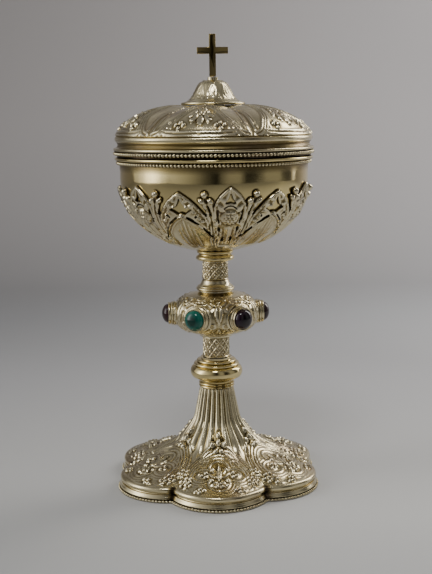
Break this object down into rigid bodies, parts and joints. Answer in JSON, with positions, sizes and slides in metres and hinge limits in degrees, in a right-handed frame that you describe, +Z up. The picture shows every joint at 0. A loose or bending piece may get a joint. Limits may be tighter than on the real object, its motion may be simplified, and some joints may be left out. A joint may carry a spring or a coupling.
{
  "type": "covered ciborium",
  "caption": "Standing covered cup of silver gilt: lobed chased foot, jewelled knop, hollow bowl in pierced leaf work, domed lobed lid that lifts off, plain cross on top.",
  "frame": {"origin": "on the table under the middle of the foot", "axes": "+Z up along the stem, -Y towards the front of the cross"},
  "size_m": [0.1188, 0.1276, 0.2622],
  "materials": {
    "polished_gilt": "polished silver gilt, worn pale",
    "chased_gilt": "chased silver gilt, darker in the recesses",
    "gilt_trim": "cast silver gilt with dark recesses",
    "green_stone": "polished green cabochon, opaque behind",
    "purple_stone": "polished purple-black cabochon, opaque behind",
    "red_stone": "polished dark red cabochon, opaque behind"
  },
  "bodies": {
    "root": {"foot": "chased_gilt", "foot_bead_wire": "gilt_trim", "lower_collar": "polished_gilt", "lower_stem": "chased_gilt", "knop": "chased_gilt", "setting_1": "gilt_trim", "setting_2": "gilt_trim", "setting_3": "gilt_trim", "setting_4": "gilt_trim", "setting_5": "gilt_trim", "setting_6": "gilt_trim", "cabochon_1": "purple_stone", "cabochon_2": "red_stone", "cabochon_3": "red_stone", "cabochon_4": "red_stone", "cabochon_5": "red_stone", "cabochon_6": "green_stone", "upper_stem": "chased_gilt", "upper_collar": "polished_gilt", "calyx": "gilt_trim", "bowl": "polished_gilt", "bowl_bead_wire": "gilt_trim", "lid": "chased_gilt", "lid_bead_wire": "gilt_trim", "finial": "chased_gilt", "cross": "polished_gilt"}
  },
  "joints": []
}
